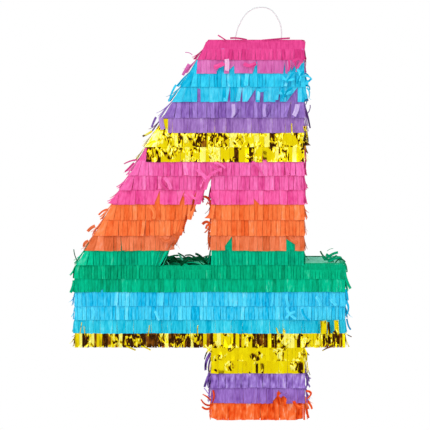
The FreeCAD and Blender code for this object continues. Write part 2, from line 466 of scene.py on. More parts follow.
def folded_over(root_z, drop, ledge):
    """Where a header goes that climbs the card, bends over its top edge and lies back on the top."""
    lip_out, lip_radius = 1.3 * MM, 2.6 * MM  # how far it swells out under the edge, and the bend over it
    bend_z = ledge - 1.2 * MM
    climb = -drop
    to_bend = bend_z - root_z
    if climb < to_bend:
        return drop, paper_out + (lip_out - paper_out) * climb / to_bend
    turn = min(math.pi / 2, (climb - to_bend) / lip_radius)
    over = max(0.0, climb - to_bend - lip_radius * math.pi / 2)
    return root_z - bend_z - lip_radius * math.sin(turn), lip_out - lip_radius * (1 - math.cos(turn)) - over


def cover(name, x_low, x_high, z, seed, up=1, tone=0.4):
    """A sheet of the same paper over a flat top, or under a flat underside, with soft wrinkles."""
    where = random.Random(seed).uniform(0, 50)
    sheet = new_grid(name, 28, 22)
    mesh = sheet.data
    set_tones(mesh, lambda face: tone + 0.5 * noise.noise(face.center * 6 + Vector((0, 0, where))))
    for vertex in mesh.vertices:
        x = x_low + (x_high - x_low) * (vertex.co.x + 0.5)
        y = (depth + 0.8 * MM) * vertex.co.y * up
        broad = abs(noise.noise(Vector((x / 0.014, y / 0.022, where))))
        fine = 0.3 * noise.noise(Vector((x, y, 0)) / 0.005)
        vertex.co = (x, y, z + up * MM * (0.45 + 1.5 * max(0.0, broad + fine)))
    set_map(mesh, {v.index: v.co.xy for v in mesh.vertices})
    return sheet, (x_high - x_low) * depth


def loose_strand(ends, y, width, tone, roll_start, roll_end):
    """A loose or torn tab, bent through three (x, z) places at a depth y, in millimetres, and its flat area.

    It is rolled about its length from one angle to another, in degrees, and faces forwards at 0."""
    start, middle, stop = (Vector((x, y, z)) * MM for x, z in ends)
    pull = 2 * middle - (start + stop) / 2
    strand = new_grid("strand", 2, 8)
    mesh = strand.data
    set_tones(mesh, lambda face: tone)
    length = (middle - start).length + (stop - middle).length
    forwards = Vector((0, -1, 0))
    flat = {}
    for vertex in mesh.vertices:
        across, t = vertex.co.x, 0.5 - vertex.co.y
        centre = start * (1 - t) ** 2 + pull * 2 * t * (1 - t) + stop * t * t
        along = ((pull - start) * (1 - t) + (stop - pull) * t).normalized()
        roll = math.radians(roll_start + (roll_end - roll_start) * t)
        aside = along.cross(forwards) * math.cos(roll) + forwards * math.sin(roll)
        bowed = 0.12 * width * MM * (1 - 4 * across * across)
        vertex.co = centre + aside * across * width * MM + forwards * bowed
        flat[vertex.index] = (start.x + across * width * MM, start.z + t * length)
    set_map(mesh, flat)
    return strand, length * width * MM


# Each row's shadowed and lit tone. A row of one dye is duller where the next colour shows through it.
row_papers = {
    1: ("#d93a84", "#f3559f"), 2: ("#cc5aa4", "#e07bc0"), 3: ("#00b0db", "#44dcfc"),
    4: ("#02b0da", "#4cd5f5"), 5: ("#7d55aa", "#ac8ada"), 6: ("#8559a6", "#ae86ce"),
    9: ("#e24892", "#ff7bc2"), 10: ("#e04690", "#ff7abf"), 11: ("#e2408a", "#ff6db3"),
    12: ("#ef652c", "#ff8a50"), 13: ("#ee622b", "#ff884e"), 14: ("#da6436", "#f6865a"),
    15: ("#009a72", "#00c895"), 16: ("#009468", "#00c08a"), 17: ("#00986c", "#00c594"),
    18: ("#04b4e6", "#54dcfc"), 19: ("#04b8e8", "#5ae0ff"), 20: ("#00b2d4", "#44d8f0"),
    24: ("#7a53a9", "#a886da"), 25: ("#7a4ca2", "#a67dd3"), 26: ("#ea4a10", "#fc763a"),
}


def mixed(first, second, share):
    """A colour between two sRGB hex colours."""
    pairs = [(int(first[i : i + 2], 16), int(second[i : i + 2], 16)) for i in (1, 3, 5)]
    return "#" + "".join(f"{round(a + (b - a) * share):02x}" for a, b in pairs)


def deepened(code):
    """The same dye several layers deep and in shadow: darker and stronger."""
    brightest, layers = 178, 1.9
    channels = [int(code[i : i + 2], 16) / 255 for i in (1, 3, 5)]
    return "#" + "".join(f"{round(brightest * c**layers):02x}" for c in channels)


def set_stops(ramp, stops):
    """Gives a colour ramp its stops, each a place and an sRGB hex colour."""
    elements = ramp.color_ramp.elements
    while len(elements) < len(stops):
        elements.new(0.5)
    for element, (place, code) in zip(elements, stops):
        element.position = place
        element.color = colour(code)


def dyed_tissue(name, dark, light, folded):
    """Bleed-dyed tissue paper, rolled thin and crimped by handling: matte, with fine creases down each tab,
    bumped and painted darker and lighter as their shade and light.

    folded is how strong the soft, slanting folds of a squashed row are, in relief and in painted light and
    shade. The tone attribute is 0 to 1 on flat paper, lower where a curled strand's own shadow is painted,
    and above 1 where light coming through one free layer is painted."""
    material, tree, shader = new_material(name)
    tone = add_node(tree, "ShaderNodeAttribute", {}, attribute_name="tone").outputs["Fac"]
    paper = add_node(tree, "ShaderNodeUVMap", {}).outputs["UV"]
    crease_spacing, fold_spacing, pulp_spacing = 1.5, 3.5, 0.35  # millimetres, on a map of 10 mm units
    creases = mottle(tree, mapped(tree, paper, Scale=(1.0, 0.2, 1.0)), 10 / crease_spacing, 4.0)
    pulp = mottle(tree, paper, 10 / pulp_spacing, 2.0)
    slanting = mapped(tree, paper, Rotation=(0.0, 0.0, 0.5), Scale=(1.0, 0.4, 1.0))
    folds = mottle(tree, slanting, 10 / fold_spacing, 1.0)
    # The creases and folds are painted darker and lighter along the ramp as their shade and light, as well as
    # bumped.
    spread = worked_out(tree, "MULTIPLY_ADD", creases, 2.0, tone)
    relief = worked_out(tree, "MULTIPLY_ADD", folds, 2 * folded, spread)
    # Creases and folds add 1 and folded on average, so a tone of 0 to 1 is 1 to 2 thirds along the ramp.
    along_ramp = worked_out(tree, "MULTIPLY_ADD", relief, 1 / 3, -folded / 3)
    ramp = add_node(tree, "ShaderNodeValToRGB", {"Fac": along_ramp})
    lit_through = mixed(light, "#ffffff", 0.5)
    set_stops(ramp, ((0.0, deepened(dark)), (1 / 3, dark), (2 / 3, light), (1.0, lit_through)))
    normal = bumped(tree, worked_out(tree, "MULTIPLY_ADD", pulp, 0.3, relief), 0.6, 0.18 * MM)
    set_inputs(tree, shader, {"Base Color": ramp.outputs["Color"], "Normal": normal})
    set_inputs(tree, shader, {"Roughness": 0.85, "Specular IOR Level": 0.05})
    return material


def metallised_film(name, crumpled):
    """Metallised gold film, slit and crumpled: mirror bright. It lies flat on most tabs, and in patches it is
    creased into small facets, bumped and painted brown and black as dark reflections. crumpled is how much of
    it is creased, from 0 to 1.

    The tone attribute is 0 to 1 on a flat tab; below that a tab is painted brown as a dark reflection, and
    above that pale as a painted highlight."""
    material, tree, shader = new_material(name)
    tone = add_node(tree, "ShaderNodeAttribute", {}, attribute_name="tone").outputs["Fac"]
    paper = add_node(tree, "ShaderNodeUVMap", {}).outputs["UV"]
    facet_width, patch_width = 3.2, 13.0  # millimetres, on a map of 10 mm units
    facets = mottle(tree, mapped(tree, paper, Scale=(1.0, 0.5, 1.0)), 10 / facet_width, 1.5, Distortion=0.8)
    patches = mottle(tree, paper, 10 / patch_width, 0.0)
    edge = 0.66 - 0.4 * crumpled
    creased = add_node(tree, "ShaderNodeMapRange", {0: patches, 1: edge, 2: edge + 0.05, 3: 0.1, 4: 1.0})
    height = worked_out(tree, "MULTIPLY", worked_out(tree, "SUBTRACT", 0.5, facets), creased.outputs[0])
    # A tone of 0 to 1 is 1 to 2 thirds along the ramp, and a creased facet goes on either way from there:
    # painted darker as a dark reflection, or paler as a highlight.
    flat = worked_out(tree, "MULTIPLY_ADD", tone, 1 / 3, 1 / 3)
    ramp = add_node(tree, "ShaderNodeValToRGB", {"Fac": worked_out(tree, "MULTIPLY_ADD", height, 4.5, flat)})
    # Painted reflections: brown and black for the dark surroundings, and a pale top stop for a highlight.
    painted_dark_reflections = (0.0, "#361c06"), (0.14, "#8c5012")
    golds_and_painted_highlight = (0.3, "#e2c808"), (0.68, "#f2df0c"), (1.0, "#faf47c")
    set_stops(ramp, painted_dark_reflections + golds_and_painted_highlight)
    normal = bumped(tree, height, 1.0, 0.8 * MM)
    look = {"Base Color": ramp.outputs["Color"], "Normal": normal, "Metallic": 1.0, "Roughness": 0.2}
    set_inputs(tree, shader, look)
    return material


def finish_sheet(parts, name, material, body, node):
    bpy.ops.object.select_all(action="DESELECT")
    for part, _ in parts:
        part.select_set(True)
    sheet = parts[0][0]
    bpy.context.view_layer.objects.active = sheet
    if len(parts) > 1:
        bpy.ops.object.join()
    sheet.name = name
    sheet.data.materials.clear()
    sheet.data.materials.append(material)
    thickness = sheet.modifiers.new("thickness", "SOLIDIFY")
    thickness.thickness = paper_thickness
    thickness.offset = 0
    bpy.ops.object.modifier_apply(modifier="thickness")
    bpy.ops.object.shade_smooth_by_angle(angle=math.radians(35))
    bpy.ops.object.select_all(action="DESELECT")
    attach(sheet, body)
    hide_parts(node)


# How each colour's fringe is cut and hangs: the width of a tab (mm), how far the tabs lift and how much they
# twist (degrees), the share that are wild, and how deeply they are crumpled and bowed across (mm).
habits = {
    "pink": (4.1, 3, 7, 0.04, 0.10, 0.35),
    "cyan": (3.9, 4, 8, 0.06, 0.12, 0.40),
    "purple": (3.9, 4, 7, 0.04, 0.10, 0.35),
    "orange": (4.4, 4, 7, 0.04, 0.12, 0.30),
    "green": (3.2, 3, 8, 0.02, 0.08, 0.35),
    "blue": (3.7, 3, 8, 0.04, 0.10, 0.35),
    "gold": (4.6, 2, 5, 0.05, 0.05, 0.08),
}
# How far the tabs on the left and right sides lift as well (degrees), by row.
side_lift = {
    1: (14, 1), 2: (14, 2), 3: (14, 8), 4: (14, 10), 5: (12, 8), 6: (10, 10), 7: (9, 10), 8: (8, 8),
    9: (8, 6), 10: (5, 5), 11: (4, 5), 12: (2, 4), 13: (2, 4), 14: (1, 3), 15: (3, 6), 16: (3, 7),
    17: (5, 8), 18: (3, 8), 19: (3, 8), 20: (4, 6), 21: (2, 5), 22: (4, 9), 23: (3, 12), 24: (3, 13),
    25: (3, 14), 26: (0, 16),
}
# Rows that hang differently from the rest of their colour. On film, dark is the share of tabs painted brown
# as dark reflections, left and right of the stem's edge, and pale the share painted pale as highlights.
habits_of_row = {
    1: {"wild": 0.0},
    2: {"wild": 0.0, "follow": (0.0, 1.0)},
    6: {"twist": 4, "wild": 0.0, "follow": (0.1, 1.0)},
    7: {"dark": (0.3, 0.3), "pale": 0.06},
    8: {"dark": (0.15, 0.12), "pale": 0.12, "follow": (0.0, 1.0)},
    15: {"wild": 0.0, "follow": (1.0, 1.0)},
    20: {"twist": 3, "wild": 0.0},
    21: {"twist": 10, "dark": (0.76, 0.4), "pale": 0.08, "tab": 3.3 * MM},
    22: {"dark": (0.0, 0.0), "pale": 0.02},
    23: {"dark": (0.0, 0.0), "pale": 0.0, "twist": 3, "wild": 0.0},
    24: {"crumple": 1.6 * MM, "lift": 9, "tab": 6.5 * MM, "twist": 8, "wild": 0.0},
    25: {"twist": 4, "wild": 0.0},
    26: {"crumple": 1.0 * MM, "lift": 1, "tab": 6.5 * MM, "twist": 6, "wild": 0.0},
}
# How wide the slits gape over a row of the same colour, and over any other, which would show through (mm).
slit_width = {
    "pink": 0.3, "cyan": 0.25, "purple": 0.3, "orange": 0.25, "green": 0.42, "blue": 0.3, "gold": 0.22,
}
narrow_slit = 0.04
# Film creases are bumped and painted as dark reflections and highlights.
crumpled_film = {7: 0.66, 8: 0.5, 21: 0.45, 22: 0.32, 23: 0.2}  # how much of each row's film is creased
# Tissue folds are bumped and painted as light and shade.
folded_tissue = {24: 1.6, 26: 1.4}  # how strong the folds of the squashed rows are
# Each row is glued by eye, so its lower edge is this much above or below its place in an even spacing (mm).
hem_up = {
    2: 1.2, 3: 2.4, 4: 2.2, 5: 1.0, 6: 0.7, 7: 1.2, 8: 1.0, 9: 1.7, 10: 2.3, 11: 2.4, 12: 1.5, 13: 0.3,
    17: 0.6, 21: -0.6, 23: 1.4, 24: 1.0, 25: -0.4, 26: -1.1,
}
row_nodes = sorted(n for n in nodes if n.startswith("fringe_row_"))
door_nodes = {int(n.split("_")[2]): n for n in nodes if n.startswith("door_fringe_")}
door_left, door_right = (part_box("fill_door")[i][0] for i in (0, 1))
door_bottom, crease_z = (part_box("fill_door")[i][2] for i in (0, 1))
kerf = 0.5 * MM  # the cut round the flap
crease_bare = 0.9 * MM  # the flap's own paper starts this far below its crease, so that the flap can fold up

# Torn and folded tabs on the front, by row: from one place to another, and how much of a tab is left at each.
torn = {
    2: [(-42, -34.5, 0.85, 0.15), (-29.5, -24.5, 0.75, 0.45), (-6.4, -1.8, 1, 0.12),
        (24, 25.8, 0.9, 0.15), (28, 32, 0.95, 0.55), (32, 36.5, 0.8, 0.35), (36.5, 45, 0.5, 0.12)],
    4: [(-61, -58, 0.15, 0.2), (-11.5, -3.2, 1, 0.2), (1, 4.8, 0.25, 0.3), (27.5, 38.5, 1, 0.1)],
    6: [(-101, -90, 0.1, 0.1)],
    10: [(-55, -51, 0.7, 0.95)],
    11: [(-103.5, -98.5, 0.9, 0.1), (-79, -74, 0.9, 0.15), (-64.5, -61.5, 0.8, 0.1),
         (-4.5, 0.5, 0.65, 0.95)],
    14: [(-86.5, -80.5, 0.9, 0.15), (-34, -26.5, 0.75, 0.1), (27.5, 36.5, 0.25, 0.6)],
    17: [(-157.5, -155, 0.85, 0.8)],
    20: [(24.5, 27, 0.95, 0.7)],
    25: [(14.5, 19.5, 0.85, 0.5), (19.5, 23, 0.2, 0.4), (23, 28, 0.6, 0.35)],
    26: [(-47, -42, 0.84, 0.98), (38, 45, 1, 0.88)],
}
# Tabs that stand out, are folded over or have come loose: the row, three (x, z) places along the tab, its
# depth, its width, its tone and how far it is rolled at its start and end. A tone below 0 paints shade on the
# strand and one above 1 paints light through it; on film, a painted dark reflection and a painted highlight.
strands = [
    # Along the top edge, and the folded and curled scraps below the top row.
    (1, (-40.5, -27.5), (-35, -31), (-30.5, -33.5), -39.6, 1.5, -0.1, 20, 60),
    (1, (-28.5, -30.5), (-21, -30.5), (-12, -32), -39.4, 1.7, -0.3, 10, 30),
    (1, (30.5, -30.5), (21.5, -31), (3, -32.5), -39.4, 1.6, -0.2, 0, 30),
    (1, (-44.5, -59), (-39.5, -57.5), (-34.5, -55), -41.8, 4.2, 0.8, 0, 15),
    (1, (-15, -55.5), (-9, -57.5), (-3, -55), -41.8, 3.6, 0.7, 10, -15),
    (1, (-9, -59), (-6, -57), (-3, -56), -41.8, 2.6, 0.2, 0, 0),
    (1, (33.5, -54), (38.5, -51), (43.5, -54.5), -41.8, 2.6, 0.4, 0, 50),
    (1, (29.5, -52), (30, -58), (29, -63), -41.6, 2, 0.4, 0, 25),
    (1, (36.5, -52), (36, -57), (38, -62), -41.8, 1.8, 0.2, 10, 60),
    (1, (41.5, -54), (38.5, -59), (37, -63.5), -41.6, 2.2, 0.9, 0, 40),
    (1, (44, -48), (46.5, -50), (45.5, -54), -36, 1.4, -0.5, 0, 60),
    (2, (-32, -51), (-31.5, -57), (-32, -62.5), -42.4, 4.3, 1.9, 0, -8),
    (2, (45, -47), (46.5, -54), (45.5, -61), -36, 1.2, -0.7, 30, 80),
    (2, (-66, -47), (-69, -45), (-73, -44.5), -37, 0.7, 0.1, 0, 0),
    (2, (-69, -56), (-72, -61), (-75.5, -67), -37, 3.2, 0.6, 0, 40),
    # The cyan cluster at the right, and folds beside the torn places.
    (3, (23.5, -68.5), (27.5, -71.5), (34.5, -70.5), -42, 2.6, 0.8, 0, 30),
    (3, (34.5, -64), (30.5, -68.5), (27.5, -74.5), -42.2, 2.4, 0.1, 0, 30),
    (3, (37.5, -61), (40.5, -66), (39.5, -72.5), -42.4, 2.6, 0.8, 20, -20),
    (3, (44.5, -63), (40.5, -68.5), (37.5, -75.5), -42.4, 2.2, -0.2, 0, 40),
    (3, (42.5, -68), (48.5, -68), (52.5, -71.5), -37, 2, 0.9, 0, 50),
    (3, (43.5, -71), (48.5, -73), (51.5, -70.5), -36.5, 2.2, 0.2, 0, 40),
    (3, (44.5, -65), (47.5, -66), (50, -69), -36, 1.6, -0.4, 0, 30),
    (3, (42.5, -74.5), (46.5, -75.5), (48.5, -73), -37, 2.6, 0.7, 0, 20),
    (3, (-82, -76.5), (-85.5, -82.5), (-88.5, -90.5), -37, 2.2, 0.7, 0, 50),
    (4, (20, -83.5), (25.5, -84.5), (31.5, -83), -42.4, 4, 0.7, 0, 20),
    (4, (22.5, -81.5), (24.5, -85.5), (23.5, -90.5), -42.8, 2.8, 0.1, 0, 30),
    (4, (-2, -81), (2, -82), (7, -80.5), -42.2, 3.6, 0.3, 0, 25),
    (4, (-0.5, -82.5), (-0.5, -86.5), (-1, -91.5), -42.2, 3.4, 1.3, 0, 8),
    (4, (45, -77.5), (45.5, -83.5), (47.5, -90.5), -37, 3.6, 0.5, 0, 40),
    (4, (47.5, -79.5), (50, -83.5), (49.5, -90), -36.5, 2.2, 1, 20, 70),
    (4, (46, -77.5), (49.5, -78), (50.5, -81.5), -36, 1.8, -0.2, 0, 60),
    (4, (32.5, -79.5), (28.5, -82.5), (25.5, -88.5), -42.6, 2.4, -0.2, 0, 30),
    (5, (38, -95.5), (37, -101.5), (34.5, -107), -42.8, 4.5, 1.6, 0, -14),
    (5, (-25.5, -95.5), (-25, -101.5), (-25.5, -108.5), -42.4, 3.6, 1.5, 0, 10),
    (5, (-20, -100.5), (-21.5, -104.5), (-25, -108.5), -42.8, 1.6, -0.3, 0, 30),
    (5, (5.5, -95.5), (5, -101.5), (6, -108), -42.3, 3, 1.3, 0, -12),
    (5, (10, -95.5), (10.5, -102.5), (7.5, -108), -42.5, 2, -0.1, 0, 40),
    (5, (44.5, -94.5), (48, -90.5), (46.5, -96.5), -36, 1, -0.9, 0, 50),
    (5, (-102, -108.5), (-104, -112.5), (-106.5, -118.5), -37, 2.2, 0.2, 0, 40),
    (6, (45.5, -99.5), (48.5, -108.5), (51, -119.5), -36.5, 2.8, -0.7, 20, 60),
    (6, (45, -101.5), (47, -110.5), (49, -117.5), -37, 1.6, 0.5, 0, 60),
    (6, (45.5, -107.5), (50, -102.5), (51, -96.5), -35, 0.9, -0.6, 0, 0),
    (6, (-97, -108.5), (-96.5, -114.5), (-95, -120.5), -42.4, 4.6, 1.1, 0, 8),
    # Gold: what stands out at the right, and a spike between two tabs of the row above.
    (7, (45.5, -117.5), (47.5, -125.5), (49, -133), -37, 3.4, -0.5, 15, 65),
    (7, (46, -119.5), (47, -125.5), (45.5, -131.5), -36, 2, 0.8, 0, 50),
    (7, (33, -126), (32.5, -120), (32.5, -114.5), -42.5, 1.3, 0.8, 0, 30),
    (7, (-106, -122.5), (-111, -125.5), (-115.5, -127.5), -37, 2.2, 0.8, 0, 40),
    (8, (45.5, -133.5), (46.5, -140), (49, -144.5), -37, 2.2, -0.5, 0, 60),
    (9, (46, -138.5), (46.5, -151), (46, -166), -36.5, 1.6, -0.6, 10, 30),
    (9, (-61, -160), (-56.5, -164.5), (-51, -170.5), -42.6, 3.8, 0.75, 0, 10),
    (9, (-36.5, -160), (-45.5, -163.5), (-54, -172.5), -42.9, 2.6, 0.45, 0, -25),
    (9, (-47, -153), (-44.5, -158), (-36.5, -162), -42.6, 2.8, 0.2, 0, 40),
    (9, (-44.5, -154), (-38.5, -155), (-33.5, -159), -42.2, 2.4, 0.7, 0, -20),
    (9, (-7, -153), (-1, -157), (4, -166.5), -42.4, 2.6, 0.3, 0, 30),
    (9, (-121, -151), (-127, -152), (-134, -155), -37, 1.6, 0, 0, 50),
    (9, (-124, -154), (-129, -159), (-133, -163), -37, 1.9, -0.2, 0, 40),
    (10, (-94, -168.5), (-90, -172.5), (-87.5, -179.5), -42.8, 3.6, 0.9, 0, 25),
    (10, (-95.5, -169.5), (-95, -174.5), (-90, -180.5), -42.4, 2.4, -0.1, 0, 25),
    (10, (44.5, -166), (46, -181), (45.5, -194), -37, 1.6, -0.3, 10, 40),
    (11, (-74.5, -185.5), (-70.5, -188.5), (-69, -194.5), -42.8, 3, 0.8, 0, 30),
    (11, (-68.5, -182.5), (-66.5, -186.5), (-62.5, -189.5), -42.8, 2.6, 1, 0, 30),
    (11, (-47.5, -183.5), (-46.5, -188.5), (-43.5, -195), -42.6, 2.2, 0.2, 0, 40),
    # Orange, at the hole.
    (12, (-54.5, -188), (-51, -189), (-47.5, -194), -36, 2.4, -0.6, 0, 30),
    (12, (-48, -197), (-50.5, -194), (-52, -196), -36, 1.2, -0.5, 0, 30),
    (12, (-108, -196.5), (-104, -202.5), (-105, -209.5), -42.4, 3.6, 0.8, 0, 30),
    (12, (-64, -187), (-65.5, -196), (-69, -205), -38, 1.6, -0.6, 0, 30),
    (13, (-56, -215.5), (-51.5, -213), (-47.5, -217), -36, 2.8, -0.4, 0, 40),
    (13, (-52.5, -220), (-50.5, -216), (-47.5, -220), -36, 2.2, -0.2, 0, 20),
    (13, (-71.5, -207), (-73.5, -214), (-75.5, -220), -38, 2, -0.6, 0, 30),
    (13, (-150.5, -200.5), (-155, -202), (-159.5, -206), -37, 2, 0.2, 0, 40),
    (14, (-48.5, -223), (-50, -229), (-49, -238), -36, 2.2, -0.3, 10, 40),
    (14, (-85.5, -225.5), (-81.5, -229.5), (-86, -236.5), -41, 3, -0.2, 0, 30),
    (14, (-97, -228.5), (-93.5, -231.5), (-88.5, -230.5), -42.6, 3.2, 0.2, 0, 20),
    (14, (-79.5, -223), (-80.5, -229), (-84.5, -234), -40, 2.4, 0.2, 0, 30),
    (14, (-163, -217), (-167, -219), (-170.5, -222.5), -37, 3.2, 0.3, 0, 30),
    (14, (31, -226.5), (34, -230.5), (39, -233.5), -42.4, 3, 0.3, 0, 20),
    (14, (-170, -232), (-173.5, -234), (-174.5, -238), -37, 2.6, 0.2, 0, 40),
    # Green: the curled cluster on the stub, and long strands at both ends.
    (15, (-169, -234), (-171.5, -238), (-174.5, -244), -34, 1.8, -0.1, 0, 20),
    (16, (-181, -252.5), (-183.5, -246.5), (-184.5, -240.5), -36, 0.9, -0.8, 0, 0),
    (16, (62.5, -244), (67.5, -251), (75, -255.5), -20, 1.6, -0.6, 0, 40),
    (16, (65, -249.5), (71, -252.5), (79, -248), -22, 2.4, 0.1, 20, 50),
    (16, (68, -246.5), (73, -250.5), (75.5, -254.5), -26, 2.6, 0, 0, 70),
    (16, (80.5, -245.5), (73.5, -248), (66.5, -253.5), -18, 2.6, 0.5, 0, 30),
    (16, (85, -252.5), (79, -251), (72, -254.5), -24, 1.8, -0.5, 0, 40),
    (16, (87, -254), (82, -251), (77, -254.5), -30, 1.6, -0.6, 0, 40),
    (16, (70, -245), (73, -243), (76, -242.5), -10, 0.5, 0.4, 0, 0),
    (16, (70, -254), (75.5, -251), (83, -249), -30, 2.4, 0.2, 30, 60),
    (17, (86, -259.5), (87.5, -269.5), (92, -280), -36.5, 2.8, 0.4, 10, 20),
    (17, (85.5, -253.5), (87.5, -257.5), (88.5, -263.5), -36, 1.6, -0.3, 0, 30),
    (17, (-184.5, -271.5), (-185.5, -277.5), (-188, -284), -37, 2.8, 0.3, 0, 20),
    # On the back, a flat strip of plain paper down to the crease of the flap.
    (17, (-39.4, -270.75), (-1, -270.75), (37.4, -270.75), 36.35, 2.1, 0.3, 0, 0),
    # Blue.
    (18, (87, -280.5), (88.5, -285.5), (89.5, -292), -36.5, 2.4, -0.1, 0, 50),
    (18, (27.5, -285), (28, -290.5), (30, -297.5), -42.4, 3, 0.8, 0, -14),
    (18, (71.5, -289.5), (74, -292.5), (78, -296), -42.6, 2.6, 0.9, 0, 20),
    (18, (57, -287.5), (60.5, -291.5), (61.5, -296.5), -42.6, 2.8, 0.85, 0, 16),
    (19, (87.5, -292.5), (90, -299.5), (88, -307.5), -36.5, 2.4, 0.1, 0, 60),
    (19, (88.5, -310.5), (90, -317), (92.5, -321.5), -36, 1.7, -0.6, 0, 0),
    (19, (27.5, -298.5), (31.5, -305), (37.5, -310), -42.6, 2.6, 0.85, 0, 30),
    (19, (27.5, -309), (31.5, -304.5), (36.5, -302.5), -42.9, 2.6, 0.8, 0, 30),
    (19, (43.5, -299.5), (45.5, -306), (51, -311), -42.6, 2.4, -0.1, 0, 40),
    (19, (-103.5, -302), (-101.5, -306), (-99, -311), -42.4, 2.6, 1, 0, 20),
    (19, (-167, -298), (-164.5, -304), (-166.5, -310), -42.4, 2.4, 0.9, 0, 20),
    # Gold: tabs caught over the row above, thin ends between its tabs, and loose ends under the arm and stub.
    (21, (65, -325), (65, -318), (64.5, -311.5), -42.6, 6.2, 0.7, 0, 8),
    (21, (71, -335), (70.5, -324), (69.5, -312.5), -43.2, 3, -1, 10, 30),
    (21, (78.5, -325), (78, -318), (77.5, -311), -42.6, 4.4, 0.6, 0, -10),
    (21, (79.5, -335), (78.5, -328), (75, -322), -43.2, 3, -1, 20, 10),
    (21, (20.5, -328), (19, -323), (17.5, -318.5), -42.8, 2.2, 0.6, 20, 50),
    (21, (24.5, -326), (25, -322), (25.5, -319.5), -42.8, 1.3, 0.6, 0, 30),
    (21, (-178.5, -325), (-177.5, -319), (-176.5, -313), -42.8, 0.8, 0.5, 0, 30),
    (21, (-173.5, -326), (-174, -321), (-174.5, -317), -42.8, 0.8, 0.5, 0, 30),
    (21, (-110.5, -327), (-109.5, -321), (-109, -316), -42.8, 1, 0.6, 0, 30),
    (21, (-60.5, -327), (-61, -321), (-60.5, -316), -42.8, 1.1, 0.1, 0, 30),
    (21, (-132.5, -337.5), (-127.5, -339.5), (-123, -341.5), -41, 1.7, 0.5, 0, 40),
    (21, (-117.5, -337.5), (-112.5, -339), (-108, -341.5), -41, 1.5, 0.5, 0, 40),
    (21, (75.5, -337.5), (69.5, -339), (64, -342), -41, 1.9, -0.5, 20, 50),
    (21, (87, -324.5), (89.5, -326.5), (93.5, -328.5), -38, 0.9, 0.3, 0, 0),
    (21, (-53.5, -336.5), (-49.5, -341.5), (-46.5, -343.5), -39, 1.6, 0.4, 0, 50),
    (22, (-47.5, -340), (-51.5, -344), (-54, -351.5), -36.5, 1.5, 0.5, 0, 50),
    (23, (49, -354), (50, -361.5), (52, -367.5), -36.5, 0.9, 0.4, 0, 50),
    (23, (46, -340), (48.5, -347), (48, -354), -36.5, 1.4, 0.3, 0, 50),
    (23, (-1.5, -355), (-1.5, -360), (-1.5, -364.5), -42.6, 2.2, -1, 0, 5),
    (23, (3.5, -355), (4, -360), (3.5, -364.5), -42.6, 2.8, -0.9, 0, -5),
    (23, (42, -354), (42.5, -359), (42, -364.5), -42.6, 4.6, -1, 0, 0),
    # Purple and orange, out from the sides of the foot.
    (24, (-47.5, -345), (-52, -353), (-53, -362.5), -36.5, 3.2, -0.4, 10, 50),
    (24, (-46.5, -348), (-49.5, -356.5), (-49.5, -364.5), -36, 2, -0.7, 10, 50),
    (24, (-46.5, -363.5), (-50.5, -369.5), (-54, -379.5), -36.5, 3, -0.1, 0, 40),
    (24, (-46.5, -367.5), (-48, -372.5), (-50, -380.5), -36, 1.8, -0.7, 0, 40),
    (24, (48, -368.5), (49, -374.5), (48, -380.5), -36.5, 1.6, -0.3, 0, 40),
    (25, (-54.5, -380.5), (-51.5, -384.5), (-48, -390), -36, 0.9, 0.9, 0, 0),
    (25, (21.5, -388.5), (25.5, -386), (29, -389.5), -42.4, 3, 0.4, 0, 40),
    (26, (21, -397), (20, -391), (20, -384), -41.4, 2.8, 0.1, 0, 20),
    (26, (26.5, -398), (27, -392), (28, -388), -41.6, 2.6, 0.1, 0, 20),
    (26, (-46, -395), (-51.5, -389.5), (-56, -387), -36.5, 1.7, 0.1, 0, 50),
    (26, (-45.5, -397.5), (-52.5, -397.5), (-57.5, -392), -36.5, 2.2, -0.1, 0, 50),
    (26, (-45.5, -399), (-51.5, -402), (-56.5, -399.5), -36, 2.6, 0.3, 0, 40),
    (26, (-45.5, -382.5), (-44.5, -388.5), (-46, -395.5), -38, 2, -0.2, 0, 40),
    (26, (48, -383.5), (53, -386), (48, -392.5), -36.5, 2.2, 0.1, 0, 50),
    (26, (48, -393.5), (52, -397), (54, -402), -36.5, 2.4, 0.3, 0, 40),
    (26, (49, -401), (49, -406), (51, -411), -36.5, 2, -0.1, 0, 40),
    (26, (35.5, -392.5), (38.5, -397.5), (44.5, -399.5), -42.6, 3.2, 0.2, 0, 30),
]


def strips_of_row(number):
    """All the strips of one row: (limb, start, stop, and how its header goes)."""
    seam, diagonal_seam = ("back", 12 * MM), ("back", -100 * MM)
    hole, stem, side = hole_left, stem_left, stem_right
    bare = {"header": "none"}
    if number == 1:
        return [("upper", seam, seam, {"header": "fold", "plain": 10.5 * MM, "ledge": card_top})]
    if number < 10:
        return [("upper", seam, seam, {})]
    if number == 10:
        diagonal = ("diagonal", ("back", stem), ("front", stem), {})
        return [diagonal, ("stem", ("front", stem), ("back", stem), {})]
    if number < 16:
        return [("diagonal", diagonal_seam, diagonal_seam, {}), ("stem", seam, seam, {})]
    if number == 16:
        over = {"header": "fold", "plain": 6 * MM, "ledge": bar_top}
        puffed = over | {"ledge": bar_top + stub_puff}
        return [
            ("bar", ("back", hole), ("front", hole), {}),
            ("bar", ("front", hole), ("front", stem), over),
            ("bar", ("front", stem), ("front", side), {}),
            ("bar", ("front", side), ("back", side), puffed),
            ("bar", ("back", side), ("back", stem), {}),
            ("bar", ("back", stem), ("back", hole), over),
        ]
    if number < 21:
        return [("bar", ("back", door_left - kerf), ("back", door_right + kerf), {})]
    if number == 21:
        below_door = ("bar", ("back", door_right), ("back", door_left), bare)
        return [("bar", ("back", door_left), ("back", door_right), {}), below_door]
    if number == 22:
        return [
            ("foot", ("front", stem), ("front", side), {}),
            ("foot", ("front", side), ("back", side), bare),
            ("foot", ("back", side), ("back", stem), {}),
            ("foot", ("back", stem), ("front", stem), bare),
        ]
    return [("foot", seam, seam, {})]


